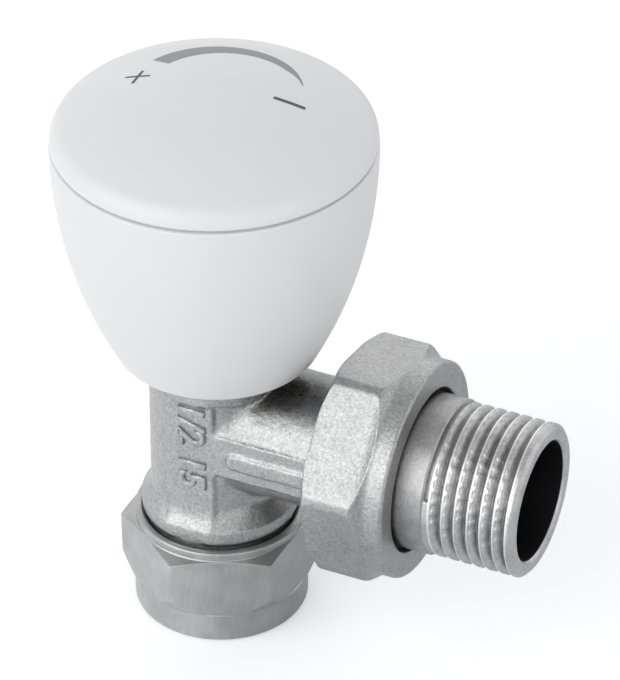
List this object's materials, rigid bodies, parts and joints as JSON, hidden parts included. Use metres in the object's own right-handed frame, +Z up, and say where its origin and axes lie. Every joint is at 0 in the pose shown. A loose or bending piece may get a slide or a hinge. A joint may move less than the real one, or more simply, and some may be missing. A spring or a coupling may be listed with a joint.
{
  "type": "angle radiator valve",
  "caption": "Angle radiator valve: forged elbow with a pipe compression socket below, a union nut with threaded tail to the side, and a domed handwheel that screws a plug onto its seat.",
  "frame": {"origin": "middle of the compression nut's lower face, on the spindle axis, where the pipe enters", "axes": "+Z up the spindle towards the handwheel, +X out along the radiator tail"},
  "size_m": [0.0684, 0.043, 0.0816],
  "materials": {
    "forged_nickel": "nickel plate over grit-blasted forged brass",
    "turned_nickel": "nickel plate over turned brass, fine tool lines",
    "bare_brass": "turned brass",
    "seal_rubber": "moulded black sealing rubber",
    "seal_fibre": "pressed fibre sealing ring",
    "slip_plastic": "slippery white bearing plastic",
    "screw_steel": "zinc-plated steel",
    "white_plastic": "satin moulded white plastic"
  },
  "bodies": {
    "body": {"valve_body": "forged_nickel", "bonnet": "bare_brass", "bonnet_gasket": "seal_fibre", "gland_nut": "bare_brass", "thrust_washer_lower": "slip_plastic", "thrust_washer_upper": "slip_plastic"},
    "handwheel": {"handwheel_cup": "white_plastic", "handwheel_cap": "white_plastic", "handwheel_screw": "screw_steel", "screw_washer": "screw_steel", "spindle": "bare_brass", "spindle_o_ring_lower": "seal_rubber", "spindle_o_ring_upper": "seal_rubber"},
    "plug": {"valve_plug": "bare_brass", "seat_washer": "seal_rubber", "washer_screw": "screw_steel"},
    "tail": {"tail_piece": "turned_nickel", "tail_o_ring": "seal_rubber"},
    "union_nut": {"union_nut": "forged_nickel"},
    "olive": {"compression_olive": "bare_brass"},
    "compression_nut": {"compression_nut": "turned_nickel"}
  },
  "joints": [
    {"name": "handwheel_turn", "type": "hinge", "parent": "body", "child": "handwheel", "pos_m": [0, 0, 0.06], "axis": [0, 0, 1], "range_deg": [-540, 540]},
    {"name": "plug_lift", "type": "slide", "parent": "body", "child": "plug", "axis": [0, 0, 1], "range_m": [-0.00226, 0.00226]},
    {"name": "tail_draw", "type": "slide", "parent": "body", "child": "tail", "axis": [1, 0, 0], "range_m": [0, 0.0091]},
    {"name": "union_nut_turn", "type": "hinge", "parent": "tail", "child": "union_nut", "pos_m": [0.0246, 0, 0.0298], "axis": [1, 0, 0], "range_deg": [0, 1800]},
    {"name": "olive_drop", "type": "slide", "parent": "body", "child": "olive", "axis": [0, 0, -1], "range_m": [0, 0.0061]},
    {"name": "compression_nut_turn", "type": "hinge", "parent": "olive", "child": "compression_nut", "pos_m": [0, 0, 0.0075], "axis": [0, 0, -1], "range_deg": [0, 1440]}
  ],
  "couplings": [
    {"joint": "plug_lift", "follows": "handwheel_turn", "m_per_rad": 0.00023873},
    {"joint": "tail_draw", "follows": "union_nut_turn", "m_per_rad": 0.00028871},
    {"joint": "olive_drop", "follows": "compression_nut_turn", "m_per_rad": 0.00023873}
  ]
}
